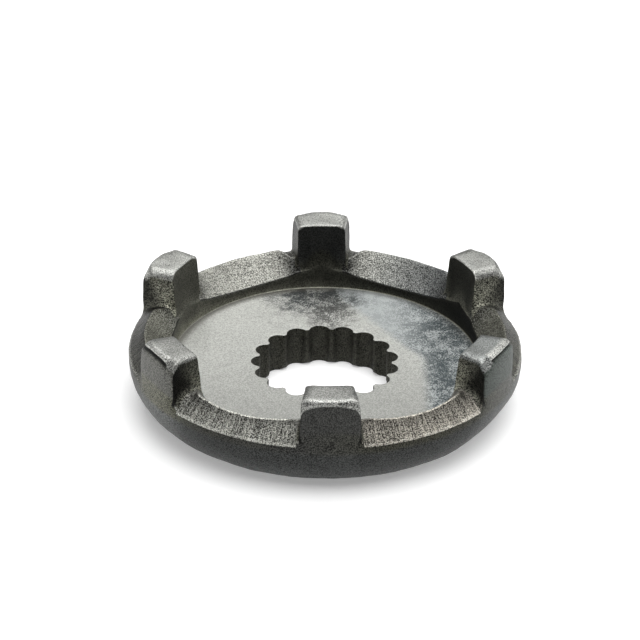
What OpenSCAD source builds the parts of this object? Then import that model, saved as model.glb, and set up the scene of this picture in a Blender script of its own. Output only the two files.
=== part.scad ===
// Kickstart pinion: a one-piece forged dog ring that a kick starter engages.
// A round web with a splined bore carries a raised rim. Dogs stand on the rim, and between them
// the rim is a ridge, with a coned slope outside and a hollow valley inside.
// Millimetres, +Z up. The flat underside lies on Z = 0 and the bore runs along Z.

/* [Overall] */
// Diameter of the outer wall
outer_d = 42; // [36:0.5:60]
// Height from the underside to the tops of the dogs
height = 11.5; // [10:0.1:16]
// Radius that rounds the outer wall into the underside
belly_r = 5.4; // [3:0.1:5.8]

/* [Web] */
// Thickness of the web under its floor
web_t = 4.35; // [3.5:0.05:6]
// Radial width of the ledge from the edge of the floor out to the dogs' inner faces
ledge_w = 1.02; // [0.7:0.02:2]
// Draft of the wall around the floor, in degrees
wall_draft = 8; // [2:1:12]

/* [Spline bore] */
// Number of grooves in the bore
groove_n = 17; // [11:1:25]
// Diameter over the lands between the grooves
land_d = 14.2; // [12:0.1:18]
// Depth of a groove below the lands
groove_depth = 0.8; // [0.5:0.05:1.2]
// Width of a land
land_w = 0.42; // [0.2:0.02:1]
// Chamfer that leads into the bore from the underside
lead_in = 0.45; // [0.2:0.05:0.7]

/* [Dogs] */
// Number of dogs around the rim
dog_n = 6; // [5:1:8]
// Angle that a dog spans at its root, in degrees
dog_angle = 18.2; // [13:0.2:22]
// Draft of a dog's flanks, in degrees
flank_draft = 2; // [0.5:0.5:5]
// Draft of a dog's inner face, in degrees
face_draft = 6; // [0.5:0.5:8]
// Radial depth of a dog at its top
dog_depth = 3.53; // [2.8:0.01:4.2]
// Height that the arched top of a dog's outer face falls at its corners
arch_drop = 1.7; // [0.8:0.05:2.4]
// Radial reach of the bevel that runs from the arch over a dog's top
bevel_w = 0.9; // [0.4:0.05:1.6]

/* [Ridge between the dogs] */
// Height of the rim's outer edge over the floor
edge_rise = 1.6; // [1.2:0.05:2.2]
// Height of the crest over the floor, midway between two dogs
crest_rise = 3.48; // [2.9:0.02:4.2]
// Radial width of the slope outside the crest, midway between two dogs
slope_w = 1.8; // [1.3:0.05:2.4]
// Height of the valley's foot over the floor, midway between two dogs
foot_rise = 0.9; // [0.6:0.05:1.3]
// Height of the cusp where two valleys meet under a dog, over the floor
cusp_rise = 2.45; // [1.9:0.05:3]

/* [Hidden] */
$fn = 96;
forged_grey = "#6f6d69";
// Overshoot of a cut past the faces that it opens
over = 1;
// Flat left at the apex of a dog's arch, so that its bevels start beside the middle
apex_lift = 0.05;

wall_r = outer_d / 2;
dog_r = wall_r - dog_depth;
floor_r = dog_r - ledge_w;
crest_r = wall_r - slope_w;
edge_z = web_t + edge_rise;
crest_z = web_t + crest_rise;
foot_z = web_t + foot_rise;
cut_top = height + over;

// Wall around the floor: its radius at a rise over the floor
function wall_at(rise) = floor_r + rise * tan(wall_draft);

// Valley: a hollow cylinder along the line from its foot to the crest, midway between two dogs.
// Its radius takes its surface through the cusp, half a pitch round from that line.
foot_r = wall_at(foot_rise);
valley_slope = atan2(crest_z - foot_z, crest_r - foot_r);
half_pitch = 180 / dog_n;
cusp_in = foot_r - wall_at(cusp_rise) * cos(half_pitch);
cusp_out = wall_at(cusp_rise) * sin(half_pitch);
cusp_sag = cusp_in * sin(valley_slope) + (cusp_rise - foot_rise) * cos(valley_slope);
valley_r = (cusp_out ^ 2 + cusp_sag ^ 2) / (2 * cusp_sag);
valley_floor = web_t + foot_rise / 2;
// Angle by which two valleys' cuts run past the cusp into each other
valley_lap = 2;
half_gap = half_pitch - dog_angle / 2;

// Slope outside the crest: rise for each millimetre inward
slope_tan = (crest_z - edge_z) / slope_w;

// Arch of a dog's outer face: a leaning cylinder through the apex and the corners
dog_half_w = wall_r * sin(dog_angle / 2);
arch_lean = atan2(arch_drop, bevel_w);
arch_sag = arch_drop * cos(arch_lean);
arch_r = (dog_half_w ^ 2 + arch_sag ^ 2) / (2 * arch_sag);

// Groove of the bore: a round cut between two lands
land_r = land_d / 2;
tip_r = land_r + groove_depth;
groove_half = 180 / groove_n - asin(land_w / land_d);
groove_side = land_r * sin(groove_half);
groove_foot = land_r * cos(groove_half);
groove_deep = tip_r - groove_foot;
groove_r = (groove_deep ^ 2 + groove_side ^ 2) / (2 * groove_deep);

// Section of the rim and web at full height, before anything is cut between the dogs
module blank_section() {
    wall_top = crest_rise + over;
    difference() {
        union() {
            square([wall_r - belly_r, height]);
            translate([0, belly_r]) square([wall_r, height - belly_r]);
            intersection() {
                translate([wall_r - belly_r, belly_r]) circle(belly_r);
                square([outer_d, height]);
            }
        }
        polygon([
            [-over, web_t], [floor_r, web_t], [wall_at(wall_top), web_t + wall_top],
            [wall_at(wall_top), cut_top], [-over, cut_top]
        ]);
    }
}

// Plan of the sector within an angle to each side of the +X axis
module sector(half_angle) {
    reach = outer_d;
    polygon([[0, 0], [reach, -reach * tan(half_angle)], [reach, reach * tan(half_angle)]]);
}

// Space to one side of a flank of the gap on the +X axis, where side is 1 or -1.
// The flank leans back from the gap by its draft, about its line at the rim's outer edge.
module flank_space(side) {
    reach = 2 * outer_d;
    translate([0, 0, edge_z])
        rotate([-side * flank_draft, 0, side * half_gap])
            translate([0, side > 0 ? -reach : 0, -height]) cube([reach, reach, 2 * height + over]);
}

// Space of all that isn't a dog: the inside up to the dogs' inner faces, and the gaps between them
module gaps_space() {
    cylinder(r1 = dog_r - height * tan(face_draft), r2 = dog_r + over * tan(face_draft), h = cut_top);
    for (i = [0 : dog_n - 1])
        rotate(2 * i * half_pitch)
            intersection() {
                flank_space(1);
                flank_space(-1);
            }
}

// Space over the valley of the gap on the +X axis, a little past the middles of its two dogs
module valley_space() {
    intersection() {
        translate([0, 0, valley_floor])
            linear_extrude(cut_top - valley_floor) sector(half_pitch + valley_lap);
        translate([foot_r, 0, foot_z])
            rotate([0, 90 - valley_slope, 0])
                translate([-valley_r, 0, -outer_d / 4])
                    cylinder(r = valley_r, h = outer_d);
    }
}

// Space over the slope outside the crest
module slope_space() {
    out_r = wall_r + over;
    out_z = edge_z - over * slope_tan;
    rotate_extrude()
        polygon([[out_r, out_z], [out_r, cut_top], [out_r - (cut_top - out_z) / slope_tan, cut_top]]);
}

// What is cut away to leave the ridge and the dogs
module gaps_cut() {
    intersection() {
        gaps_space();
        union() {
            for (i = [0 : dog_n - 1]) rotate(2 * i * half_pitch) valley_space();
            slope_space();
        }
    }
}

// What is cut from the outer top of the dog on the +X axis to leave its arch and bevels
module arch_cut() {
    depth = arch_drop + over;
    reach = bevel_w + over;
    difference() {
        translate([wall_r - reach, -dog_half_w - over, height - depth])
            cube([reach + over, 2 * (dog_half_w + over), depth + over]);
        translate([wall_r, 0, height + apex_lift])
            rotate([0, arch_lean - 90, 0])
                translate([-arch_r, 0, -outer_d / 2])
                    cylinder(r = arch_r, h = outer_d);
    }
}

// Outline of the splined bore, with its first groove in line with a dog
module bore_plan() {
    circle(land_r);
    for (i = [0 : groove_n - 1])
        rotate(half_pitch + i * 360 / groove_n)
            translate([tip_r - groove_r, 0]) circle(groove_r);
}

module kickstart_pinion() {
    color(forged_grey)
        difference() {
            rotate_extrude() blank_section();
            gaps_cut();
            for (i = [0 : dog_n - 1]) rotate((2 * i + 1) * half_pitch) arch_cut();
            translate([0, 0, -over]) linear_extrude(web_t + 2 * over) bore_plan();
            translate([0, 0, -over])
                cylinder(r1 = land_r + lead_in + over, r2 = land_r - over, h = lead_in + 2 * over);
        }
}

kickstart_pinion();
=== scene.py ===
"""Looks of the kickstart pinion: one forged steel ring with six dogs, on a pale studio floor."""

import math
from typing import NamedTuple

import bmesh
import bpy
from mathutils import Matrix, Vector, noise


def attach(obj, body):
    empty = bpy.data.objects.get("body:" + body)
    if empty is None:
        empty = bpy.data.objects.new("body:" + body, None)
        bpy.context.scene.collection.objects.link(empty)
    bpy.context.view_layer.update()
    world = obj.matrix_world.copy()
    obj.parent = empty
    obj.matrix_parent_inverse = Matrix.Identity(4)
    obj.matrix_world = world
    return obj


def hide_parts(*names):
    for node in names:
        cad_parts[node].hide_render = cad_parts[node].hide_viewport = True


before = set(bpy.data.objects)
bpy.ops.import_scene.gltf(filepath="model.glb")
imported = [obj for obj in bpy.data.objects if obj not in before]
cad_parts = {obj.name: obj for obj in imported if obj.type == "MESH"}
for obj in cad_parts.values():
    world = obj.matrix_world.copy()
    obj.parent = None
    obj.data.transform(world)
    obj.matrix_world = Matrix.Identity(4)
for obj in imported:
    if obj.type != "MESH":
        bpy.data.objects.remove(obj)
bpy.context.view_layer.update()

# Sizes of the forging, in millimetres, as in the solid
MM = 0.001
OUTER_R = 21.0
TOP_Z = 11.5
BELLY_R = 5.4
WEB_T = 4.35
FLOOR_R = 16.45
WALL_DRAFT = math.tan(math.radians(8))
DOGS = 6
DOG_R = 17.47
DOG_HALF = math.radians(9.1)
FLANK_DRAFT = math.tan(math.radians(2))
FACE_DRAFT = math.tan(math.radians(6))
ARCH_DROP = 1.7
ARCH_REACH = 0.9
EDGE_Z = 5.95
CREST_R = 19.2
CREST_Z = 7.83
FOOT_Z = 5.25
CUSP_Z = 6.8
GROOVES = 17
LAND_R = 7.1
TIP_R = 7.9
LAND_W = 0.42
LEAD_IN = 0.45

# Roundings that the solid leaves sharp: the outer end of a flank's root fillet, a dog's upright
# edges and the widest edge of a dog's top
ROOT_OUT = 0.25
UPRIGHT_REACH = 0.35
CORNER_REACH = 0.9

# Way over which the crest bends in to the foot of a dog, where it ends there, and how far the slope
# bulges out and up to meet it
CREST_BEND = 1.9
ROOT_R = 17.7
ROOT_Z = 7.6
SLOPE_BULGE = (0.4, 0.5)

# Way over which a dog's inner face sweeps into the wall below it, and how soon it does beside the edge
SWEEP = 0.5
SWEEP_HASTE = 1.6

# Width of the floor that the section of the rim takes in
FLOOR_BAND = 0.3

# Rounding of the bore's lands into its grooves, and how far the lands stand in for it
LAND_ROUNDING = 0.08
LAND_PROUD = 0.01

# Flattened stretch of the belly: its depth, and its middle and half width in degrees
FLAT_DEPTH = 0.6
FLAT_MIDDLE = 331
FLAT_HALF = 24

# Depth of the crease under a folded top edge
FOLD_DEPTH = 0.2

# Distance that the surface keeps inside the solid's outer wall and top
INSET = 0.002


class HalfDog(NamedTuple):
    """Half of a dog, from a flank to its middle.

    It has the share of the arch's fall, the flare of the flank's foot, the reach and drop of the
    bevel at the middle, the rounding beside the top, the root fillet at the flank's inner end, and
    the fall of a rounded shoulder at the end of the arch.
    """

    arch: float = 1.0
    flare: float = 0.0
    reach: float = 0.22
    drop: float = 0.4
    corner: float = 0.5
    root: float = 0.8
    shoulder: float = 0.0


# Halves of dogs to both sides of each gap, from the gap on the +X axis on
PLAIN_HALF = HalfDog()
TIGHT_HALF = HalfDog(root=0.6)
FRONT_HALF = HalfDog(arch=0.5, reach=0.3, shoulder=1.5)
HALF_DOGS = (
    (HalfDog(arch=0.3, flare=0.3, reach=0.5, drop=0.5), HalfDog(corner=0.9, root=1.2)),
    (PLAIN_HALF, TIGHT_HALF),
    (TIGHT_HALF, PLAIN_HALF),
    (HalfDog(corner=0.9), HalfDog(arch=0.5, flare=0.9, reach=0.7, drop=0.5)),
    (HalfDog(arch=0.75, reach=0.7, drop=0.5, root=1.1), FRONT_HALF),
    (FRONT_HALF, HalfDog(arch=0.9, reach=0.5, drop=0.5, root=1.1)),
)

# Gaps and dogs that differ from the others, counted from the +X axis on
RIGHT_BACK_GAP = 1
FRONT_GAPS = (4, 5)
BACK_DOG = 1
LEFT_FRONT_DOG = 3
FRONT_DOG = 4
RIGHT_FRONT_DOG = 5

# Steps round the ring: half a gap, the root fillet, a flank, its rounding and half a dog
GAP_STEPS = 14
ROOT_STEPS = 6
FLANK_STEPS = 4
ROUND_STEPS = 4
DOG_STEPS = 6
ROOT_END = GAP_STEPS + ROOT_STEPS
FLANK_END = ROOT_END + FLANK_STEPS
ROUND_END = FLANK_END + ROUND_STEPS
HALF_STEPS = ROUND_END + DOG_STEPS
PITCH_STEPS = 2 * HALF_STEPS
COLUMNS = DOGS * PITCH_STEPS

HALF_PITCH = math.pi / DOGS
FLANK_TURN = HALF_PITCH - DOG_HALF
DOG_TURN = FLANK_TURN + CORNER_REACH / CREST_R


def mix(first, second, share):
    """A number between two others."""
    return first + (second - first) * share


def ease(share):
    """A share from 0 to 1, slow at both ends."""
    share = min(1.0, max(0.0, share))
    return share * share * (3 - 2 * share)


# Hollow valley of a gap: a leaning cylinder from its foot to the crest
FOOT_R = FLOOR_R + (FOOT_Z - WEB_T) * WALL_DRAFT
VALLEY_LEAN = math.atan2(CREST_Z - FOOT_Z, CREST_R - FOOT_R)
CUSP_R = FLOOR_R + (CUSP_Z - WEB_T) * WALL_DRAFT
CUSP_SAG = (
    (FOOT_R - CUSP_R * math.cos(HALF_PITCH)) * math.sin(VALLEY_LEAN)
    + (CUSP_Z - FOOT_Z) * math.cos(VALLEY_LEAN)
)
CUSP_OUT = CUSP_R * math.sin(HALF_PITCH)
VALLEY_R = (CUSP_OUT**2 + CUSP_SAG**2) / (2 * CUSP_SAG)
SLOPE_TAN = (CREST_Z - EDGE_Z) / (OUTER_R - CREST_R)

# Arched top of a dog's outer face: another leaning cylinder, stretched across the dog
ARCH_STRETCH = 1.3
ARCH_LEAN = math.atan2(ARCH_DROP, ARCH_REACH)
ARCH_HALF = OUTER_R * math.sin(DOG_HALF)
ARCH_SAG = ARCH_DROP * math.cos(ARCH_LEAN)
ARCH_R = (ARCH_HALF**2 + ARCH_SAG**2) / (2 * ARCH_SAG)

# Groove of the bore: a round cut between two lands
GROOVE_HALF = math.pi / GROOVES - math.asin(LAND_W / (2 * LAND_R))
GROOVE_DEEP = TIP_R - LAND_R * math.cos(GROOVE_HALF)
GROOVE_R = (GROOVE_DEEP**2 + (LAND_R * math.sin(GROOVE_HALF)) ** 2) / (2 * GROOVE_DEEP)


# Halvings that find where two surfaces meet, and rounds that find the foot of a dog's inner face
HALVINGS = 40
FOOT_ROUNDS = 20


def valley_height(radius, turn):
    """Height of the valley's surface, at a turn from the middle of its gap."""
    across = radius * math.sin(turn)
    sag = VALLEY_R - math.sqrt(VALLEY_R**2 - across**2)
    reach = radius * math.cos(turn) - FOOT_R
    return FOOT_Z + (sag + reach * math.sin(VALLEY_LEAN)) / math.cos(VALLEY_LEAN)


def valley_foot(turn):
    """Where the valley starts, on the wall around the floor."""
    low = WEB_T
    high = TOP_Z
    for _ in range(HALVINGS):
        middle = (low + high) / 2
        if valley_height(FLOOR_R + (middle - WEB_T) * WALL_DRAFT, turn) > middle:
            low = middle
        else:
            high = middle
    return Vector((FLOOR_R + (low - WEB_T) * WALL_DRAFT, low))


def ridge_crest(turn):
    """Where the valley meets the slope outside it."""
    low = DOG_R
    high = OUTER_R
    for _ in range(HALVINGS):
        middle = (low + high) / 2
        if valley_height(middle, turn) < EDGE_Z + (OUTER_R - middle) * SLOPE_TAN:
            low = middle
        else:
            high = middle
    return Vector((low, valley_height(low, turn)))


def bore_radius(turn):
    """Radius of the splined bore at a turn from the middle of the first groove."""
    pitch = 2 * math.pi / GROOVES
    off = (turn + pitch / 2) % pitch - pitch / 2
    centre = TIP_R - GROOVE_R
    inside = max(0.0, GROOVE_R**2 - (centre * math.sin(off)) ** 2)
    groove = centre * math.cos(off) + math.sqrt(inside)
    gap = groove - LAND_R
    return LAND_R + (gap + math.hypot(gap, LAND_ROUNDING)) / 2 - LAND_PROUD


# Most of a straight that a rounding at its end takes
STRAIGHT_SHARE = 0.45


def trace(corners, reaches, steps):
    """Points along a line through corners, each inner one rounded over its reach.

    The steps are those of the first straight, the first bend, the second straight and so on.
    """
    points = [corners[0]]
    for index, reach in enumerate(reaches, 1):
        corner = corners[index]
        back = corners[index - 1] - corner
        ahead = corners[index + 1] - corner
        reach = min(reach, STRAIGHT_SHARE * min(back.length, ahead.length))
        start = corner + back.normalized() * reach
        end = corner + ahead.normalized() * reach
        before = points[-1]
        for step in range(1, steps[2 * index - 2] + 1):
            points.append(before.lerp(start, step / steps[2 * index - 2]))
        for step in range(1, steps[2 * index - 1] + 1):
            share = step / steps[2 * index - 1]
            points.append(start.lerp(corner, share).lerp(corner.lerp(end, share), share))
    before = points[-1]
    for step in range(1, steps[-1] + 1):
        points.append(before.lerp(corners[-1], step / steps[-1]))
    return points


# Steps along a section: up from the floor's edge, on over the ridge or a dog, and down the outer wall
LIP_STEPS = [2, 3, 5, 3, 3, 3]
RIDGE_STEPS = [11, 4, 12]
DOG_PATH_STEPS = [4, 3, 5, 2, 3, 2, 8]
WALL_STEPS = [4, 3]

# Roundings along a section: from the floor's edge to the foot of a dog's inner face, at the crest in
# a gap and beside a dog, at the rim's edge, and all those of a dog
LIP_REACHES = [0.12, 0.3, 0.3]
CREST_REACHES = (0.25, 0.5)
RIM_REACH = 0.2
DOG_REACHES = [0.12, 0.6, 0.6, 0.18, 0.3, 0.3, 0.3]

# Last points of the stretches of a section
VALLEY_LAST = 16
BEND_LAST = 19
FACE_LAST = 23
INNER_EDGE_LAST = 26
HOLLOW_LAST = 30
TOP_LAST = 31
CREST_LAST = 34
BEVEL_LAST = 36
ARCH_LAST = 38
SLOPE_LAST = 46


def face_foot(turn):
    """Where a dog's leaning inner face would stand on the valley."""
    height = CREST_Z
    for _ in range(FOOT_ROUNDS):
        radius = DOG_R - (TOP_Z - height) * FACE_DRAFT
        height = valley_height(radius, turn)
    return Vector((radius, height))


def ridge_section(turn, foot_turn):
    """Section from the edge of the floor to the outer wall, through the ridge in a gap.

    Near a dog, whose flank has its foot at a turn, the crest bends in to the dog's inner face, and
    the slope bulges to meet it.
    """
    beside = ease(1 - (foot_turn - turn) * CREST_R / CREST_BEND)
    corners = [
        Vector((FLOOR_R - FLOOR_BAND, WEB_T)),
        Vector((FLOOR_R, WEB_T)),
        valley_foot(turn),
        face_foot(turn),
        ridge_crest(turn).lerp(Vector((ROOT_R, ROOT_Z)), beside),
        Vector((OUTER_R, EDGE_Z)),
        Vector((OUTER_R, BELLY_R)),
    ]
    reaches = LIP_REACHES + [mix(*CREST_REACHES, beside), RIM_REACH]
    points = trace(corners, reaches, LIP_STEPS + RIDGE_STEPS + WALL_STEPS)
    for index in range(CREST_LAST, SLOPE_LAST):
        share = (index - CREST_LAST) / (SLOPE_LAST - CREST_LAST)
        points[index] += Vector(SLOPE_BULGE) * beside * math.sin(math.pi * share)
    return points


def dog_section(turn, half_dog):
    """Section from the edge of the floor to the outer wall, through a dog."""
    # The arch is stretched to meet the rounding beside the top
    stretch = ARCH_STRETCH - half_dog.corner / 3
    across = stretch * OUTER_R * math.sin(HALF_PITCH - turn)
    sag = half_dog.arch * (ARCH_R - math.sqrt(ARCH_R**2 - across**2))
    drop = math.hypot(sag / math.cos(ARCH_LEAN), half_dog.drop)
    reach = math.hypot(sag / math.sin(ARCH_LEAN), half_dog.reach)
    sweep = SWEEP * ease((turn - DOG_TURN) / (HALF_PITCH - DOG_TURN) * SWEEP_HASTE)
    corners = [
        Vector((FLOOR_R - FLOOR_BAND, WEB_T)),
        Vector((FLOOR_R, WEB_T)),
        valley_foot(turn) - sweep * Vector((WALL_DRAFT, 1)),
        face_foot(turn) + sweep * Vector((FACE_DRAFT, 1)),
        Vector((DOG_R, TOP_Z)),
        Vector((OUTER_R - reach, TOP_Z)),
        Vector((OUTER_R, TOP_Z - drop)),
        Vector((OUTER_R, EDGE_Z)),
        Vector((OUTER_R, BELLY_R)),
    ]
    return trace(corners, DOG_REACHES, LIP_STEPS + DOG_PATH_STEPS + WALL_STEPS)


# How soon the flare of a flank's foot ends above it
FLARE_POWER = 1.5


def lean_back(place, flare):
    """Turn by which a flank leans back from the gap at a place, with its draft and its foot's flare."""
    dog_height = TOP_Z - EDGE_Z
    up = min(1.0, max(0.0, (place.y - EDGE_Z) / dog_height))
    return (dog_height * up * FLANK_DRAFT + flare * (1 - (1 - up) ** FLARE_POWER)) / place.x


def root_reach(row, half_dog):
    """Radius of a flank's root fillet at a row of the section."""
    return mix(half_dog.root, ROOT_OUT, ease((row - CREST_LAST) / (SLOPE_LAST - CREST_LAST)))


# Rows over which the rounding of a dog's edge gets wider beside its top
TOP_FADE = 3


def corner_reach(row, half_dog):
    """Rounding of a dog's edge at a row of the section: wider beside the top than beside a face."""
    beside_top = ease((row - FACE_LAST) / TOP_FADE) * ease((ARCH_LAST - row) / TOP_FADE)
    return mix(UPRIGHT_REACH, half_dog.corner, beside_top)


def shoulder_share(row, half_dog):
    """Share of the fall of the arch's shoulder at a row of the section."""
    if not half_dog.shoulder:
        return 0.0
    start = TOP_LAST + 1
    if row <= BEVEL_LAST:
        return ease((row - start) / (BEVEL_LAST - start))
    return max(0.0, (SLOPE_LAST - row) / (SLOPE_LAST - BEVEL_LAST))


# Most of a flank's rise that its root fillet and its rounded edge take, and the rise from which it
# has both
ROOT_MOST = 0.5
EDGE_MOST = 0.4
FULL_RISE = 1.4


def side_sections(foot_turn, half_dog):
    """Sections across a dog's flank, each point with its turn, from its root fillet to its edge."""
    dog = dog_section(DOG_TURN, half_dog)
    gap_turn = foot_turn - half_dog.root / CREST_R
    sections = []
    for column in range(1, ROUND_END - GAP_STEPS):
        even = column / (ROUND_END - GAP_STEPS)
        away = half_dog.root * (1 - math.sin(min(1.0, column / ROOT_STEPS) * math.pi / 2))
        base_turn = foot_turn - away / CREST_R
        section = []
        for row, (low, high) in enumerate(zip(ridge_section(base_turn, foot_turn), dog)):
            rise = max((high - low).length, 1e-6)
            root = min(root_reach(row, half_dog), ROOT_MOST * rise)
            shoulder = shoulder_share(row, half_dog)
            edge = mix(corner_reach(row, half_dog), CORNER_REACH, shoulder)
            fall = (low - high) * (min(edge, EDGE_MOST * rise) / rise)
            fall = fall.lerp(Vector((0, -half_dog.shoulder)), shoulder)
            turn = base_turn
            if column <= ROOT_STEPS:
                height = root - math.sqrt(root**2 - max(0.0, root - away) ** 2)
                place = low.lerp(high, height / rise)
            elif column <= ROOT_STEPS + FLANK_STEPS:
                share = (column - ROOT_STEPS) / FLANK_STEPS
                place = low.lerp(high, root / rise).lerp(high + fall, share)
            else:
                bend = (column - ROOT_STEPS - FLANK_STEPS) / ROUND_STEPS * math.pi / 2
                place = high + fall * (1 - math.sin(bend))
                turn += edge / CREST_R * (1 - math.cos(bend))
            sharp = ease(rise / FULL_RISE)
            place = low.lerp(high, even).lerp(place, sharp)
            turn += lean_back(place, half_dog.flare)
            section.append((place, mix(mix(gap_turn, DOG_TURN, even), turn, sharp)))
        sections.append(section)
    return sections


# How the columns of a gap crowd towards the dogs
GAP_CROWDING = 1.4


def half_pitch_sections(half_dog):
    """Sections of the rim, each point with its turn, from the middle of a gap to that of a dog."""
    foot_turn = FLANK_TURN - half_dog.flare / CREST_R
    gap_turn = foot_turn - half_dog.root / CREST_R
    sections = []
    for column in range(GAP_STEPS + 1):
        turn = gap_turn * (1 - (1 - column / GAP_STEPS) ** GAP_CROWDING)
        sections.append([(place, turn) for place in ridge_section(turn, foot_turn)])
    sections += side_sections(foot_turn, half_dog)
    edge_turn = foot_turn + CORNER_REACH / CREST_R
    for column in range(DOG_STEPS + 1):
        share = column / DOG_STEPS
        section = []
        for place in dog_section(mix(DOG_TURN, HALF_PITCH, share), half_dog):
            start = DOG_TURN
            if place.y > EDGE_Z:
                start = edge_turn + lean_back(place, half_dog.flare)
            section.append((place, mix(start, HALF_PITCH, share)))
        sections.append(section)
    return sections


# Steps over the floor, round the belly and along the underside
FLOOR_STEPS = 12
BELLY_STEPS = 16
BASE_STEPS = 6

# Sections of the rim for each kind of half dog
RIMS = {half: half_pitch_sections(half) for halves in HALF_DOGS for half in halves}
RIM_ROWS = len(RIMS[PLAIN_HALF][0])

# Section of the bore from the underside up, as distances from its wall, with a band around its ends
BORE_BAND = 1.0
BORE = trace(
    [Vector((BORE_BAND, 0)), Vector((0, 0)), Vector((0, WEB_T)), Vector((BORE_BAND, WEB_T))],
    [0.2, 0.06],
    [2, 3, 9, 2, 2],
)[:-1]
ROWS = FLOOR_STEPS + RIM_ROWS + BELLY_STEPS + BASE_STEPS + len(BORE) - 1


def gap_and_offset(column):
    """The gap that a column belongs to, and its steps from the gap's middle."""
    gap = (column + HALF_STEPS) // PITCH_STEPS
    return gap, column - gap * PITCH_STEPS


def rim_place(column, row):
    """Radius, height and angle of a point of the rim."""
    gap, offset = gap_and_offset(column)
    rim = RIMS[HALF_DOGS[gap % DOGS][offset > 0]]
    place, turn = rim[abs(offset)][row]
    return place.x, place.y, gap * 2 * HALF_PITCH + math.copysign(turn, offset)


def section_place(column, row):
    """Radius, height and angle of the point at a column and a row of the whole surface."""
    angle = 2 * math.pi * column / COLUMNS
    bore = bore_radius(angle - HALF_PITCH)
    if row < FLOOR_STEPS:
        rim_r, rim_z, rim_angle = rim_place(column, 0)
        share = row / FLOOR_STEPS
        return mix(bore + BORE_BAND, rim_r, share), rim_z, mix(angle, rim_angle, ease(share))
    row -= FLOOR_STEPS
    if row < RIM_ROWS:
        return rim_place(column, row)
    row -= RIM_ROWS
    wall_angle = rim_place(column, RIM_ROWS - 1)[2]
    if row < BELLY_STEPS:
        bend = (row + 1) / BELLY_STEPS * math.pi / 2
        radius = OUTER_R - BELLY_R * (1 - math.cos(bend))
        away = (math.degrees(wall_angle) - FLAT_MIDDLE + 180) % 360 - 180
        radius -= FLAT_DEPTH * ease(1 - abs(away) / FLAT_HALF) * math.sin(bend)
        return radius, BELLY_R * (1 - math.sin(bend)), wall_angle
    row -= BELLY_STEPS
    if row < BASE_STEPS:
        share = (row + 1) / BASE_STEPS
        radius = mix(OUTER_R - BELLY_R - FLAT_DEPTH, bore + BORE_BAND, share)
        return radius, 0.0, mix(wall_angle, angle, ease(share))
    offset = BORE[row - BASE_STEPS + 1]
    return max(bore, LAND_R + LEAD_IN - offset.y) + offset.x, offset.y, angle


# Tints of the steel
PLAIN = (0.99, 1.0, 0.94)
COOL = (0.955, 1.0, 0.965)
WARM = (1.0, 1.0, 0.90)
OLIVE = (1.0, 1.0, 0.81)
DEEP_OLIVE = (1.0, 1.0, 0.75)
BLUISH = (0.95, 1.0, 1.0)
GREENISH = (0.87, 1.0, 0.90)
BROWNISH = (1.06, 1.0, 0.86)


class Finish(NamedTuple):
    """Looks of a part: its tint, tone, roughness, grain, streaks and wear, and dents in millimetres."""

    tint: tuple
    tone: float
    rough: float
    grain: float
    streak: float
    wear: float
    dents: float


# Finish of each part. The dark tones of the floor's wall, the outer wall and the dogs' inner faces and
# sides are partly dark oxide and partly painted shade for the dark surroundings that these upright
# faces reflect
FINISH = {
    "floor": Finish(PLAIN, 0.40, 0.6, 0.2, 0.0, 0.0, 0.015),
    # The lip is paler than the wall: a painted highlight along the fillet between floor and wall
    "lip": Finish(OLIVE, 0.16, 0.45, 0.3, 0.0, 0.0, 0.02),
    "wall": Finish(OLIVE, 0.044, 0.55, 0.4, 0.0, 0.0, 0.03),
    "shoulder": Finish(OLIVE, 0.06, 0.50, 0.6, 0.0, 0.0, 0.03),
    "valley": Finish(WARM, 0.29, 0.45, 0.65, 0.15, 0.3, 0.05),
    "crest": Finish(WARM, 0.27, 0.42, 0.7, 0.2, 0.4, 0.07),
    "slope": Finish(WARM, 0.175, 0.45, 1.05, 0.75, 0.0, 0.05),
    "rim_edge": Finish(WARM, 0.32, 0.42, 0.7, 0.2, 0.9, 0.06),
    "outer": Finish(PLAIN, 0.036, 0.50, 0.8, 0.0, 0.0, 0.06),
    "belly": Finish(COOL, 0.108, 0.50, 0.7, 0.0, 0.0, 0.06),
    "base": Finish(COOL, 0.08, 0.55, 0.5, 0.0, 0.0, 0.0),
    "bore": Finish(OLIVE, 0.046, 0.60, 0.45, 0.5, 0.0, 0.0),
    "root": Finish(OLIVE, 0.13, 0.50, 1.1, 0.4, 0.0, 0.05),
    "dog_foot": Finish(OLIVE, 0.036, 0.50, 0.5, 0.1, 0.0, 0.05),
    "dog_face": Finish(OLIVE, 0.018, 0.55, 0.45, 0.0, 0.0, 0.05),
    "dog_edge": Finish(PLAIN, 0.30, 0.42, 0.5, 0.1, 0.3, 0.05),
    "dog_top": Finish(PLAIN, 0.40, 0.42, 0.4, 0.1, 0.15, 0.06),
    "bevel": Finish(PLAIN, 0.22, 0.45, 0.9, 0.2, 0.5, 0.06),
    "burr": Finish(PLAIN, 0.42, 0.40, 0.6, 0.1, 0.9, 0.08),
    "front_burr": Finish(PLAIN, 0.32, 0.42, 0.6, 0.1, 0.5, 0.08),
    # The fold's near-black tone is painted shade in the crease under the folded edge
    "fold": Finish(PLAIN, 0.008, 0.60, 0.4, 0.0, 0.0, 0.10),
    "dog_side": Finish(COOL, 0.036, 0.50, 0.6, 0.0, 0.0, 0.06),
    "flank": Finish(OLIVE, 0.105, 0.50, 1.1, 0.3, 0.0, 0.07),
}
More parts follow.
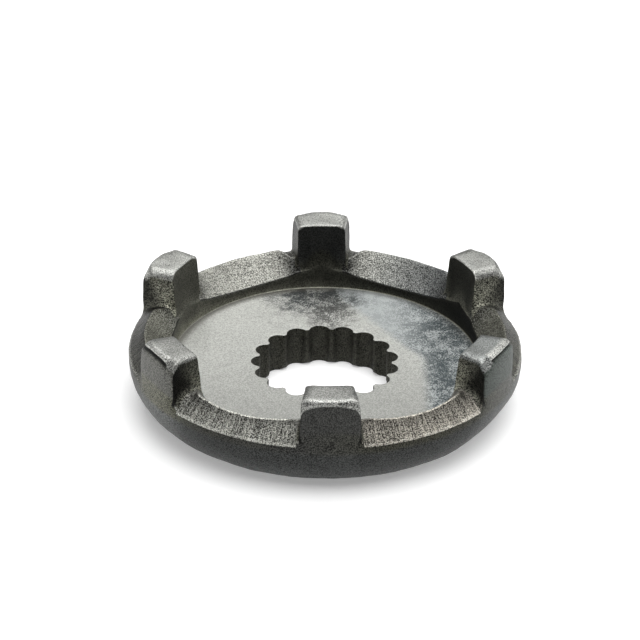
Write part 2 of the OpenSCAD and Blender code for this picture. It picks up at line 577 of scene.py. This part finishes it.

# Shares of its tone that a part keeps: by gap for valleys, crests and slopes, by the two flanks of each
# gap, and by dog for tops, their edges and inner faces, all from the +X axis on. Those of valleys,
# crests, slopes, flanks and inner faces are painted light and shade by how each faces the lamps, with a
# painted highlight on the crests of the front gaps
VALLEY_LIGHT_SHARES = (0.42, 0.66, 1.06, 0.46, 1.0, 1.0)
CREST_LIGHT_SHARES = (1.0, 1.0, 1.0, 1.0, 1.6, 1.25)
SLOPE_LIGHT_SHARES = (0.27, 1.0, 1.0, 0.19, 1.0, 0.90)
FLANK_LIGHT_SHARES = ((0.8, 0.95), (0.8, 0.25), (0.18, 0.8), (1.3, 0.8), (0.45, 0.2), (0.2, 0.8))
TOP_SHARES = (0.91, 1.0, 1.04, 0.68, 0.68, 0.55)
EDGE_SHARES = (0.65, 1.0, 1.0, 0.7, 0.68, 0.6)
FACE_LIGHT_SHARES = (1.1, 1.5, 3.8, 1.5, 1.2, 1.0)

# Shares that the ridge keeps beside a dog, by dog, with the steps from the gap's middle where it starts
# to darken and over which it does: painted shade in the corners beside the dogs
VALLEY_CORNER_SHADES = (0.4, 0.1, 0.4, 0.4, 0.4, 0.4)
CREST_CORNER_SHADE = 0.4
SLOPE_CORNER_SHADES = (0.9, 0.9, 0.9, 0.9, 0.75, 0.9)
CORNER_START = 5
CORNER_FADE = 12

# How valleys get paler from one side to the other, by gap: painted light, a sheen of the lamps
VALLEY_LIGHT_TILTS = (0.0, 0.35, 0.3, 0.0, 0.0, 0.0)

# Shares from one end to the other: of a slope from the crest to the rim's edge, of a flank from its
# foot to its top and from the inside to the outer wall, and of the floor's wall from the left to the
# right and from its foot to its top. Those of a flank are painted shade, and the wall's from left to
# right is painted light
SLOPE_ENDS = (0.58, 1.3)
FLANK_SHADE_ENDS = (1.5, 0.5)
FLANK_SHADE_DEPTHS = (1.5, 0.28)
FRONT_FLANK_SHADE_DEPTHS = (2.4, 0.15)
WALL_SIDE_LIGHT = (2.4, 0.1)
WALL_ENDS = (2.3, 0.85)
WALL_FADE = 6

# Tones of the sweep under each dog's inner face, and the rows over which they give way to the face's;
# both differ by dog as painted light
FOOT_LIGHT_TONES = (0.09, 0.062, 0.08, 0.06, 0.06, 0.06)
FOOT_FADE = 5

# Share that the outer wall keeps, with its paler stretches of painted light: their middles in pitches
# from the +X axis, with the share added and the half width in pitches
OUTER_SHARE = 0.92
OUTER_LIT_STRETCHES = {
    0.4: (0.2, 0.8), 2.5: (0.3, 0.6), 3.5: (1.9, 0.45), 4.5: (0.12, 0.3), 5.7: (1.25, 0.6),
}

# How much paler the belly is at the left and right, as painted light, and how soon it takes over from
# the outer wall
BELLY_SIDE_LIGHT = 0.3
BELLY_HASTE = 1.6

# Dogs whose outer top edge is folded over, with the ends of the fold, where -1 and 1 are the flanks,
# and the first row of the crease
FOLDS = {LEFT_FRONT_DOG: (-1.0, 0.55, 36), RIGHT_FRONT_DOG: (-0.45, 1.0, 35)}

# Burrs: rows that they reach over a crease, rows on the front dog, and columns of the first dog that
# have one along the inner edge of the top
FOLD_BURR = 5
FRONT_BURR_ROWS = (32, 37)
EDGE_BURR = range(FLANK_END, HALF_STEPS)

# Parts that a section runs through, each with the last of its points
LIP_PARTS = {"floor": 2, "lip": 4, "wall": 11, "shoulder": 13}
RIDGE_PARTS = LIP_PARTS | {
    "valley": HOLLOW_LAST, "crest": 33, "slope": 45, "rim_edge": 48, "outer": RIM_ROWS,
}
DOG_PARTS = LIP_PARTS | {
    "dog_foot": BEND_LAST, "dog_face": FACE_LAST, "dog_edge": 25, "dog_top": TOP_LAST,
    "bevel": BEVEL_LAST, "dog_side": 43, "outer": RIM_ROWS,
}
RIDGE_NAMES = ("valley", "shoulder", "crest", "slope", "rim_edge")

# Steps at the ends of a root fillet that look like what lies beside it, and the rounding at the
# bore's ends that looks like the bore
FILLET_MARGIN = 2
BORE_EDGE = 0.05

# Tints of the ridge by gap, and of a dog's top and outer side by dog
RIDGE_TINTS = (OLIVE, WARM, WARM, OLIVE, WARM, BROWNISH)
TOP_TINTS = (PLAIN, PLAIN, PLAIN, PLAIN, PLAIN, COOL)
SIDE_TINTS = (PLAIN, PLAIN, PLAIN, WARM, PLAIN, GREENISH)

# Olive stretches of the outer wall: their middles and half widths in pitches
OLIVE_STRETCHES = {3.6: 0.7, 5.0: 0.8}


def stretch_share(column, middle, width):
    """How near a column is to the middle of a stretch of the outer wall, from 0 to 1."""
    away = (column / PITCH_STEPS - middle + DOGS / 2) % DOGS - DOGS / 2
    return ease(1 - abs(away) / width)


def tint_at(column, part):
    """Tint of a part at a column."""
    gap, offset = gap_and_offset(column)
    gap %= DOGS
    dog = column // PITCH_STEPS
    if part in RIDGE_NAMES:
        share = ease(0.5 - offset / GAP_STEPS / 2) if gap == RIGHT_BACK_GAP else 0.0
        return Vector(RIDGE_TINTS[gap]).lerp(Vector(BLUISH), share)
    if part in ("dog_top", "dog_edge", "bevel"):
        return TOP_TINTS[dog]
    if part == "dog_side":
        return SIDE_TINTS[dog]
    if part == "dog_face" and dog == BACK_DOG:
        return COOL
    if part == "outer":
        share = max(stretch_share(column, middle, width) for middle, width in OLIVE_STRETCHES.items())
        return Vector(PLAIN).lerp(Vector(DEEP_OLIVE), share)
    return FINISH[part].tint


def outer_light_share(column):
    """Share of its tone that the outer wall keeps at a column, with painted light on its paler
    stretches.
    """
    share = OUTER_SHARE
    for middle, (extra, width) in OUTER_LIT_STRETCHES.items():
        share += extra * stretch_share(column, middle, width)
    return share


def ridge_tone(column, row, part):
    """Tone of a part of the ridge between two dogs, with painted light by gap and painted shade beside
    the dogs.
    """
    gap, offset = gap_and_offset(column)
    gap %= DOGS
    dog = column // PITCH_STEPS
    tone = FINISH[part].tone
    shade_beside_dog = ease((abs(offset) - CORNER_START) / CORNER_FADE)
    if part in ("slope", "rim_edge"):
        outward = (row - CREST_LAST) / (SLOPE_LAST - CREST_LAST)
        tone *= SLOPE_LIGHT_SHARES[gap] * mix(*SLOPE_ENDS, outward)
        return tone * mix(1.0, SLOPE_CORNER_SHADES[dog], shade_beside_dog)
    tone *= VALLEY_LIGHT_SHARES[gap] * (1 + VALLEY_LIGHT_TILTS[gap] * min(1.0, max(-1.0, offset / GAP_STEPS)))
    if part == "crest":
        return tone * CREST_LIGHT_SHARES[gap] * mix(1.0, CREST_CORNER_SHADE, shade_beside_dog)
    return tone * mix(1.0, VALLEY_CORNER_SHADES[dog], shade_beside_dog)


def flank_tone(column, row):
    """Tone of a dog's flank, with painted shade: darker towards its top and towards the outer wall, and
    darker on some flanks.
    """
    gap, offset = gap_and_offset(column)
    gap %= DOGS
    up = (abs(offset) - ROOT_END) / FLANK_STEPS
    if gap in FRONT_GAPS:
        outward = ease((row - INNER_EDGE_LAST) / (BEVEL_LAST - INNER_EDGE_LAST))
        depth = mix(*FRONT_FLANK_SHADE_DEPTHS, outward)
    else:
        outward = ease((row - HOLLOW_LAST) / (ARCH_LAST - HOLLOW_LAST))
        depth = mix(*FLANK_SHADE_DEPTHS, outward)
    return FINISH["flank"].tone * FLANK_LIGHT_SHARES[gap][offset > 0] * mix(*FLANK_SHADE_ENDS, up) * depth


def root_tone(column, row):
    """Tone of a flank's root fillet, from the ridge's to the flank's."""
    ridge = next(name for name, last in RIDGE_PARTS.items() if row <= last)
    up = (abs(gap_and_offset(column)[1]) - GAP_STEPS) / ROOT_STEPS
    return mix(ridge_tone(column, row, ridge), flank_tone(column, row), up)


def face_tone(column, row):
    """Tone of a dog's inner face, with the paler sweep under it, both with painted light that differs
    by dog.
    """
    dog = column // PITCH_STEPS
    steps = abs(gap_and_offset(column)[1])
    near_edge = ease((ROUND_END + 1 - steps) / ROUND_STEPS)
    foot_last = mix(VALLEY_LAST, BEND_LAST, near_edge)
    face = FINISH["dog_face"].tone * FACE_LIGHT_SHARES[dog]
    return mix(FOOT_LIGHT_TONES[dog], face, ease((row - foot_last) / FOOT_FADE))


def tone_at(column, row, part):
    """Tone of a part at a column and a row of the rim."""
    tone = FINISH[part].tone
    dog = column // PITCH_STEPS
    across = math.cos(2 * math.pi * column / COLUMNS)
    if part in RIDGE_NAMES:
        return ridge_tone(column, row, part)
    if part == "root":
        return root_tone(column, row)
    if part == "flank":
        return flank_tone(column, row)
    if part in ("dog_top", "bevel"):
        return tone * TOP_SHARES[dog]
    if part == "dog_edge":
        return tone * EDGE_SHARES[dog]
    if part in ("dog_face", "dog_foot"):
        return face_tone(column, row)
    if part == "wall":
        # Painted light: the wall is paler on the left, where it faces the lamp on the right
        upward = ease((row - LIP_PARTS["lip"]) / WALL_FADE)
        return tone * mix(*WALL_SIDE_LIGHT, (1 + across) / 2) * mix(*WALL_ENDS, upward)
    if part in ("outer", "dog_side"):
        return tone * outer_light_share(column)
    if part == "belly":
        # The belly gets paler towards the bottom as a painted reflection of the floor
        outer = FINISH["outer"].tone * outer_light_share(column)
        down = ease((row - RIM_ROWS - 1) / BELLY_STEPS * BELLY_HASTE)
        return mix(outer, tone * (1 + BELLY_SIDE_LIGHT * across**2), down)
    return tone


def crease_row(column):
    """First row of the crease under a dog's folded top edge at a column, or 0 where there is none."""
    dog = column // PITCH_STEPS
    start, end, row = FOLDS.get(dog, (1.0, -1.0, 0))
    across = (column - dog * PITCH_STEPS - HALF_STEPS) / (HALF_STEPS - FLANK_END)
    return row if start <= across <= end else 0


def part_at(column, row):
    """Name of the part of the surface at a column and a row."""
    if row < FLOOR_STEPS:
        return "floor"
    row -= FLOOR_STEPS
    if row >= RIM_ROWS + BELLY_STEPS:
        offset = BORE[max(0, row - RIM_ROWS - BELLY_STEPS - BASE_STEPS + 1)]
        if offset.x < BORE_EDGE:
            return "bore"
        return "floor" if offset.y > WEB_T / 2 else "base"
    if row >= RIM_ROWS:
        return "belly"
    offset = abs(gap_and_offset(column)[1])
    on_dog = offset > FLANK_END
    parts = DOG_PARTS if on_dog else RIDGE_PARTS
    part = next(name for name, last in parts.items() if row <= last)
    crease = crease_row(column) if on_dog else 0
    if crease and row in (crease, crease + 1):
        return "fold"
    if crease and crease - FOLD_BURR < row < crease:
        return "burr"
    if on_dog and column in EDGE_BURR and row in (FACE_LAST + 1, FACE_LAST + 2):
        return "burr"
    if on_dog and column // PITCH_STEPS == FRONT_DOG and row in FRONT_BURR_ROWS:
        return "front_burr"
    if on_dog and offset < ROUND_END and FACE_LAST < row < BEVEL_LAST:
        return "dog_edge"
    if part == "shoulder" and on_dog:
        return "wall"
    if part == "rim_edge" and offset > ROOT_END - FILLET_MARGIN:
        return "outer"
    if ROOT_END < offset <= FLANK_END and BEND_LAST < row < SLOPE_LAST:
        return "flank"
    if GAP_STEPS + FILLET_MARGIN < offset <= ROOT_END and BEND_LAST < row < RIDGE_PARTS["slope"]:
        return "root"
    return part


# Noise of the dents, in waves for each millimetre: broad swells, ripples with their share and place,
# and ragged wear, and how far the dents lie below the surface
SWELL_WAVES = 0.3
RIPPLE_WAVES = 1.1
RIPPLE_SHARE = 0.6
RIPPLE_PLACE = (7, 3, 5)
RAGGED_WAVES = 2.7
DENT_BIAS = 0.4

# Noise of a crease's depth: its waves, the share that is even and the share that isn't
FOLD_WAVES = 0.9
FOLD_EVEN = 0.7
FOLD_UNEVEN = 1.3


def dent(bm, parts):
    """Moves each vertex a little along its normal, as a hammered and trimmed surface lies."""
    bm.normal_update()
    for vert in bm.verts:
        place = vert.co.copy()
        finish = FINISH[parts[vert]]
        swell = noise.noise(place * SWELL_WAVES)
        ripple = noise.noise(place * RIPPLE_WAVES + Vector(RIPPLE_PLACE)) * RIPPLE_SHARE
        ragged = noise.noise(place * RAGGED_WAVES) * finish.wear
        vert.co += vert.normal * finish.dents * (swell + ripple + ragged - DENT_BIAS)
        if parts[vert] == "fold":
            uneven = FOLD_UNEVEN * noise.noise(place * FOLD_WAVES)
            vert.co -= vert.normal * FOLD_DEPTH * max(0.0, FOLD_EVEN + uneven)
        inside = min(1.0, (OUTER_R - INSET) / math.hypot(vert.co.x, vert.co.y))
        vert.co.x *= inside
        vert.co.y *= inside
        vert.co.z = min(TOP_Z - INSET, max(0.0, vert.co.z))


def spin_section(bm, row_of):
    """Spins a section that closes on itself, with its rows numbered, into a ring of columns."""
    profile = []
    for row in range(ROWS):
        radius, height, _ = section_place(0, row)
        vert = bm.verts.new((radius, 0, height))
        vert[row_of] = row
        profile.append(vert)
    loop = [bm.edges.new((profile[row - 1], profile[row])) for row in range(ROWS)]
    bmesh.ops.spin(
        bm, geom=profile + loop, cent=(0, 0, 0), axis=(0, 0, 1),
        angle=2 * math.pi, steps=COLUMNS, use_merge=True,
    )


def on_side(column, row):
    """Whether a point lies on a dog's flank, its root fillet or its rounded edge."""
    steps = abs(gap_and_offset(column)[1])
    return GAP_STEPS < steps < ROUND_END and BEND_LAST < row - FLOOR_STEPS < SLOPE_LAST


# Passes that smooth the flanks
SMOOTH_PASSES = 2


def pinion_mesh():
    """The forging as one closed surface: a spun section whose rings are then moved to their places."""
    bm = bmesh.new()
    row_of = bm.verts.layers.int.new("row")
    spin_section(bm, row_of)
    # Tones of the parts, which carry painted light and shade as well as the steel's own colour
    tone_of = bm.verts.layers.float_color.new("tone")
    floor_of = bm.verts.layers.float.new("floor")
    finish_of = {
        name: bm.verts.layers.float.new(name) for name in ("rough", "grain", "streak", "wear")
    }
    parts = {}
    sides = []
    for vert in bm.verts:
        column = round(math.atan2(vert.co.y, vert.co.x) / (2 * math.pi) * COLUMNS) % COLUMNS
        row = vert[row_of]
        radius, height, angle = section_place(column, row)
        vert.co = (radius * math.cos(angle), radius * math.sin(angle), height)
        part = part_at(column, row)
        parts[vert] = part
        tone = tone_at(column, row - FLOOR_STEPS, part)
        vert[tone_of] = (*(share * tone for share in tint_at(column, part)), 1)
        vert[floor_of] = part == "floor"
        for name, layer in finish_of.items():
            vert[layer] = getattr(FINISH[part], name)
        if on_side(column, row):
            sides.append(vert)
    bmesh.ops.recalc_face_normals(bm, faces=bm.faces)
    for _ in range(SMOOTH_PASSES):
        bmesh.ops.smooth_vert(
            bm, verts=sides, factor=0.5, use_axis_x=True, use_axis_y=True, use_axis_z=True
        )
    dent(bm, parts)
    bmesh.ops.scale(bm, vec=(MM, MM, MM), verts=bm.verts)
    for face in bm.faces:
        face.smooth = True
    mesh = bpy.data.meshes.new("pinion_forging")
    bm.to_mesh(mesh)
    bm.free()
    piece = bpy.data.objects.new("pinion_forging", mesh)
    bpy.context.scene.collection.objects.link(piece)
    return piece


class Field:
    """A socket of a material's nodes. Arithmetic on it adds Math nodes."""

    def __init__(self, tree, socket=None):
        self.tree = tree
        self.socket = socket

    def node(self, kind, settings=None, sockets=None, output=0):
        """A new node: its settings are made first, then its sockets get their values or links."""
        made = self.tree.nodes.new(kind)
        for name, value in (settings or {}).items():
            setattr(made, name, value)
        for name, value in (sockets or {}).items():
            if isinstance(value, Field):
                self.tree.links.new(value.socket, made.inputs[name])
            else:
                made.inputs[name].default_value = value
        return Field(self.tree, made.outputs[output])

    def math(self, operation, first, second):
        """A Math node on two values."""
        return self.node("ShaderNodeMath", {"operation": operation}, {0: first, 1: second})

    def __add__(self, other):
        return self.math("ADD", self, other)

    def __sub__(self, other):
        return self.math("SUBTRACT", self, other)

    def __rsub__(self, other):
        return self.math("SUBTRACT", other, self)

    def __mul__(self, other):
        return self.math("MULTIPLY", self, other)

    __radd__ = __add__
    __rmul__ = __mul__

    def rise(self, low, high):
        """0 below one value and 1 above another, with a soft step between."""
        return self.node(
            "ShaderNodeMapRange", {"interpolation_type": "SMOOTHSTEP"},
            {"Value": self, "From Min": low, "From Max": high},
        )

    def noise(self, scale, detail=2.0, rough=0.5):
        """Noise at a vector's place, from about 0 to 1."""
        return self.node(
            "ShaderNodeTexNoise", None,
            {"Vector": self, "Scale": scale, "Detail": detail, "Roughness": rough},
        )

    def vector(self, operation, *others):
        """Vector maths on a vector and others."""
        sockets = dict(enumerate((self, *others)))
        return self.node("ShaderNodeVectorMath", {"operation": operation}, sockets)

    def length(self):
        """The length of a vector."""
        return self.node("ShaderNodeVectorMath", {"operation": "LENGTH"}, {0: self}, "Value")

    def axis(self, name):
        """One coordinate of a vector."""
        return self.node("ShaderNodeSeparateXYZ", None, {0: self}, name)

    def patch(self, centre, size):
        """How far a vector is from a centre, where 1 is at the rim of an oval of a size."""
        return self.vector("SUBTRACT", centre).vector("DIVIDE", size).length()

    def scaled(self, scale):
        """A colour or a vector times a number."""
        return self.node("ShaderNodeVectorMath", {"operation": "SCALE"}, {0: self, "Scale": scale})

    def blend(self, first, second, share):
        """A colour between two others. Sockets 6 and 7 and output 2 are a Mix node's colours."""
        return self.node("ShaderNodeMix", {"data_type": "RGBA"}, {0: share, 6: first, 7: second}, 2)

    def tinted(self, other, share):
        """A colour on the way to another one."""
        return self.blend(self, other, share)


# Colours of the floor's stains, with an alpha of 1: dark and pale spots of its bluish side, the stain
# at its back, the tail of that stain, and its edge, which is brown dirt and painted shade at the foot
# of the wall
BLUE_DARK = (0.055, 0.068, 0.072, 1)
BLUE_PALE = (0.38, 0.40, 0.395, 1)
STAIN_DARK = (0.06, 0.066, 0.066, 1)
TAIL_DARK = (0.08, 0.08, 0.075, 1)
BROWN_EDGE_SHADE = (0.09, 0.085, 0.07, 1)

# Middles and half sizes of the stain and its tail, in millimetres
STAIN_MIDDLE = (-0.6, 13.7, 0)
STAIN_SIZE = (5.2, 3.1, 1)
TAIL_MIDDLE = (0.9, 10.2, 0)
TAIL_SIZE = (2.6, 3.4, 1)

# Colour of bright worn edges
WORN_STEEL = (0.6, 0.6, 0.57, 1)

# Keeps what lies in the plane of the ring
IN_PLANE = (1, 1, 0)


def floor_colour(pale, place, cloud, speck):
    """Colour of the floor: a pale seat with a brown edge, bluish on the right, stained at the back,
    with painted shade darker towards the front and along the edge.
    """
    blotch = place.noise(0.8, 4.0, 0.6)
    ragged = (blotch - 0.5) * 1.6
    spots = (blotch * 0.6 + speck * 0.22 + cloud * 0.18).rise(0.44, 0.63)
    across = place.vector("MULTIPLY", IN_PLANE)
    radius = across.length()
    x = place.axis("X")
    y = place.axis("Y")
    behind = y.rise(-1, 3)
    right = (x + y * 0.6 * behind + ragged * behind).rise(9.8, 11.4)
    dark = (x + ragged * 2).rise(5.5, 12.5)
    stain = 1 - (across.patch(STAIN_MIDDLE, STAIN_SIZE) + ragged).rise(0.4, 1.4)
    tail = 1 - (across.patch(TAIL_MIDDLE, TAIL_SIZE) + ragged).rise(0.4, 1.3)
    # Brown dirt and painted shade along the back of the floor's edge, at the foot of the wall
    edge = radius.rise(15.2, 16.4) * y.rise(-3, 6) * (1 - 0.6 * right)
    blue = place.blend(BLUE_DARK, BLUE_PALE, spots + (1 - dark) * 0.75)
    # Painted shade: the pale seat darker towards the front
    colour = pale.scaled(0.78 + 0.27 * y.rise(-14, 6)).tinted(blue, right)
    colour = colour.tinted(STAIN_DARK, stain * (1.0 - 0.85 * spots))
    colour = colour.tinted(TAIL_DARK, tail * (1 - spots) * 0.9)
    return colour.tinted(BROWN_EDGE_SHADE, edge * 0.8)


def forged_steel():
    """Forged steel: a paler floor, dark walls partly of painted shade, rough sheared slopes and bright
    worn edges, on tones that carry painted light and shade.
    """
    material = bpy.data.materials.new("forged_steel")
    material.use_nodes = True
    tree = material.node_tree
    shader = tree.nodes["Principled BSDF"]
    start = Field(tree)

    def attribute(name, output="Fac"):
        return start.node("ShaderNodeAttribute", {"attribute_name": name}, None, output)

    place = start.node("ShaderNodeTexCoord", None, None, "Object").scaled(1 / MM)
    grain = attribute("grain")
    streak = attribute("streak")
    floor = attribute("floor")

    across = place.vector("MULTIPLY", IN_PLANE)
    outward = (across.length() + place.axis("Z")) * 0.5
    along = start.node("ShaderNodeCombineXYZ", None, {"Z": outward})
    combed = across.vector("NORMALIZE").vector("MULTIPLY_ADD", (20, 20, 0), along)

    speck = place.noise(7.5, 2.0, 0.6).rise(0.32, 0.68)
    pits = place.noise(11.0, 2.0, 0.6)
    comb = combed.noise(6.5, 2.0, 0.6).rise(0.32, 0.68)
    cloud = place.noise(0.45, 4.0, 0.6)

    clouds = (cloud - 0.5) * (0.8 - 0.5 * floor)
    texture = 1 + grain * (speck - 0.5) * 2.4 + streak * (comb - 0.5) * 1.8 + clouds
    texture = start.math("MAXIMUM", texture, 0.12)
    steel = attribute("tone", "Color").scaled(texture)
    steel = steel.tinted(floor_colour(steel, place, cloud, speck), floor)
    worn = attribute("wear") * (speck + cloud).rise(1.05, 1.4) * 0.6
    steel = steel.tinted(WORN_STEEL, worn)
    tree.links.new(steel.socket, shader.inputs["Base Color"])
    rough = attribute("rough") + (cloud - 0.5) * 0.2 + grain * (pits - 0.5) * 0.25
    tree.links.new(rough.socket, shader.inputs["Roughness"])
    shader.inputs["Metallic"].default_value = 0.85
    relief = grain * (speck * 0.5 + pits * 0.4) + streak * comb * 0.7
    bump = start.node(
        "ShaderNodeBump", None, {"Strength": 0.8, "Distance": 0.06 * MM, "Height": relief}
    )
    tree.links.new(bump.socket, shader.inputs["Normal"])
    return material


pinion = pinion_mesh()
pinion.data.materials.append(forged_steel())
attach(pinion, "root")
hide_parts("kickstart_pinion")

# Camera at the photograph's angle, with its focal length and its aim in pixels of the picture
PICTURE_PIXELS = 640
SENSOR_MM = 36
VIEW_LIFT = math.radians(29.673)
VIEW_TURN = math.radians(-1.756)
VIEW_ROLL = math.radians(0.678)
VIEW_DISTANCE = 0.58507
FOCAL_PIXELS = 5474.4
AIM_RIGHT = 5.09 / FOCAL_PIXELS
AIM_DOWN = 41.785 / FOCAL_PIXELS


def studio_camera():
    """A long lens that looks down on the floor of the forging."""
    target = Vector((0, 0, WEB_T * MM))
    away = Vector((0, -math.cos(VIEW_LIFT), math.sin(VIEW_LIFT)))
    away.rotate(Matrix.Rotation(VIEW_TURN, 3, "Z"))
    level = away.cross(Vector((0, 0, 1))).normalized() * -1
    upright = away.cross(level)
    right = level * math.cos(VIEW_ROLL) + upright * math.sin(VIEW_ROLL)
    up = away.cross(right)
    back = (away + right * AIM_RIGHT - up * AIM_DOWN).normalized()
    right = up.cross(back).normalized()
    up = back.cross(right)
    data = bpy.data.cameras.new("studio_camera")
    data.sensor_width = SENSOR_MM
    data.lens = FOCAL_PIXELS * SENSOR_MM / PICTURE_PIXELS
    data.clip_start = 0.01
    camera = bpy.data.objects.new("studio_camera", data)
    turn = Matrix((right, up, back)).transposed().to_4x4()
    camera.matrix_world = Matrix.Translation(target + away * VIEW_DISTANCE) @ turn
    bpy.context.scene.collection.objects.link(camera)
    bpy.context.scene.camera = camera


def soft_box(name, place, target, size, watts):
    """A studio lamp with a flat screen that faces a point."""
    data = bpy.data.lights.new(name, "AREA")
    data.shape = "RECTANGLE"
    data.size, data.size_y = size
    data.energy = watts
    lamp = bpy.data.objects.new(name, data)
    lamp.location = place
    lamp.rotation_euler = (Vector(target) - Vector(place)).to_track_quat("-Z", "Y").to_euler()
    bpy.context.scene.collection.objects.link(lamp)


def studio_floor():
    """A wide pale floor."""
    bm = bmesh.new()
    bmesh.ops.create_grid(bm, x_segments=1, y_segments=1, size=3)
    mesh = bpy.data.meshes.new("studio_floor")
    bm.to_mesh(mesh)
    bm.free()
    floor = bpy.data.objects.new("studio_floor", mesh)
    bpy.context.scene.collection.objects.link(floor)
    floor.data.materials.append(white_paper())


# Colour of the paper, and the glow that lifts it to white where it is lit
PAPER = (0.8, 0.8, 0.8, 1)
PAPER_GLOW = (0.29, 0.29, 0.29)


def white_paper():
    """Pale paper that the camera and the steel's gloss see as white, with the ring's shadow on it."""
    material = bpy.data.materials.new("white_paper")
    material.use_nodes = True
    tree = material.node_tree
    shader = tree.nodes["Principled BSDF"]
    shader.inputs["Base Color"].default_value = PAPER
    shader.inputs["Roughness"].default_value = 1.0
    shader.inputs["Specular IOR Level"].default_value = 0.0
    start = Field(tree)
    seen = start.node("ShaderNodeLightPath", None, None, "Is Camera Ray")
    gloss = start.node("ShaderNodeLightPath", None, None, "Is Glossy Ray")
    through = start.node("ShaderNodeLightPath", None, None, "Is Transmission Ray")
    share = start.node(
        "ShaderNodeMath", {"operation": "ADD", "use_clamp": True}, {0: seen + gloss, 1: through}
    )
    shader.inputs["Emission Strength"].default_value = 1.0
    glow = start.node(
        "ShaderNodeVectorMath", {"operation": "SCALE"}, {0: PAPER_GLOW, "Scale": share}
    )
    tree.links.new(glow.socket, shader.inputs["Emission Color"])
    return material


# Light of the studio's walls
STUDIO_GREY = (0.1, 0.1, 0.1, 1)

studio_camera()
studio_floor()
soft_box("top_box", place=(0.07, 0.06, 0.5), target=(0.07, 0.06, 0), size=(0.6, 1.0), watts=6.2)
soft_box("left_box", place=(-0.5, 0.15, 0.12), target=(0, 0, 0), size=(0.3, 0.2), watts=0.6)
soft_box("right_box", place=(0.5, 0.15, 0.12), target=(0, 0, 0), size=(0.3, 0.2), watts=0.9)
world = bpy.data.worlds.new("studio")
bpy.context.scene.world = world
world.use_nodes = True
world.node_tree.nodes["Background"].inputs["Color"].default_value = STUDIO_GREY
bpy.context.scene.view_settings.view_transform = "Standard"
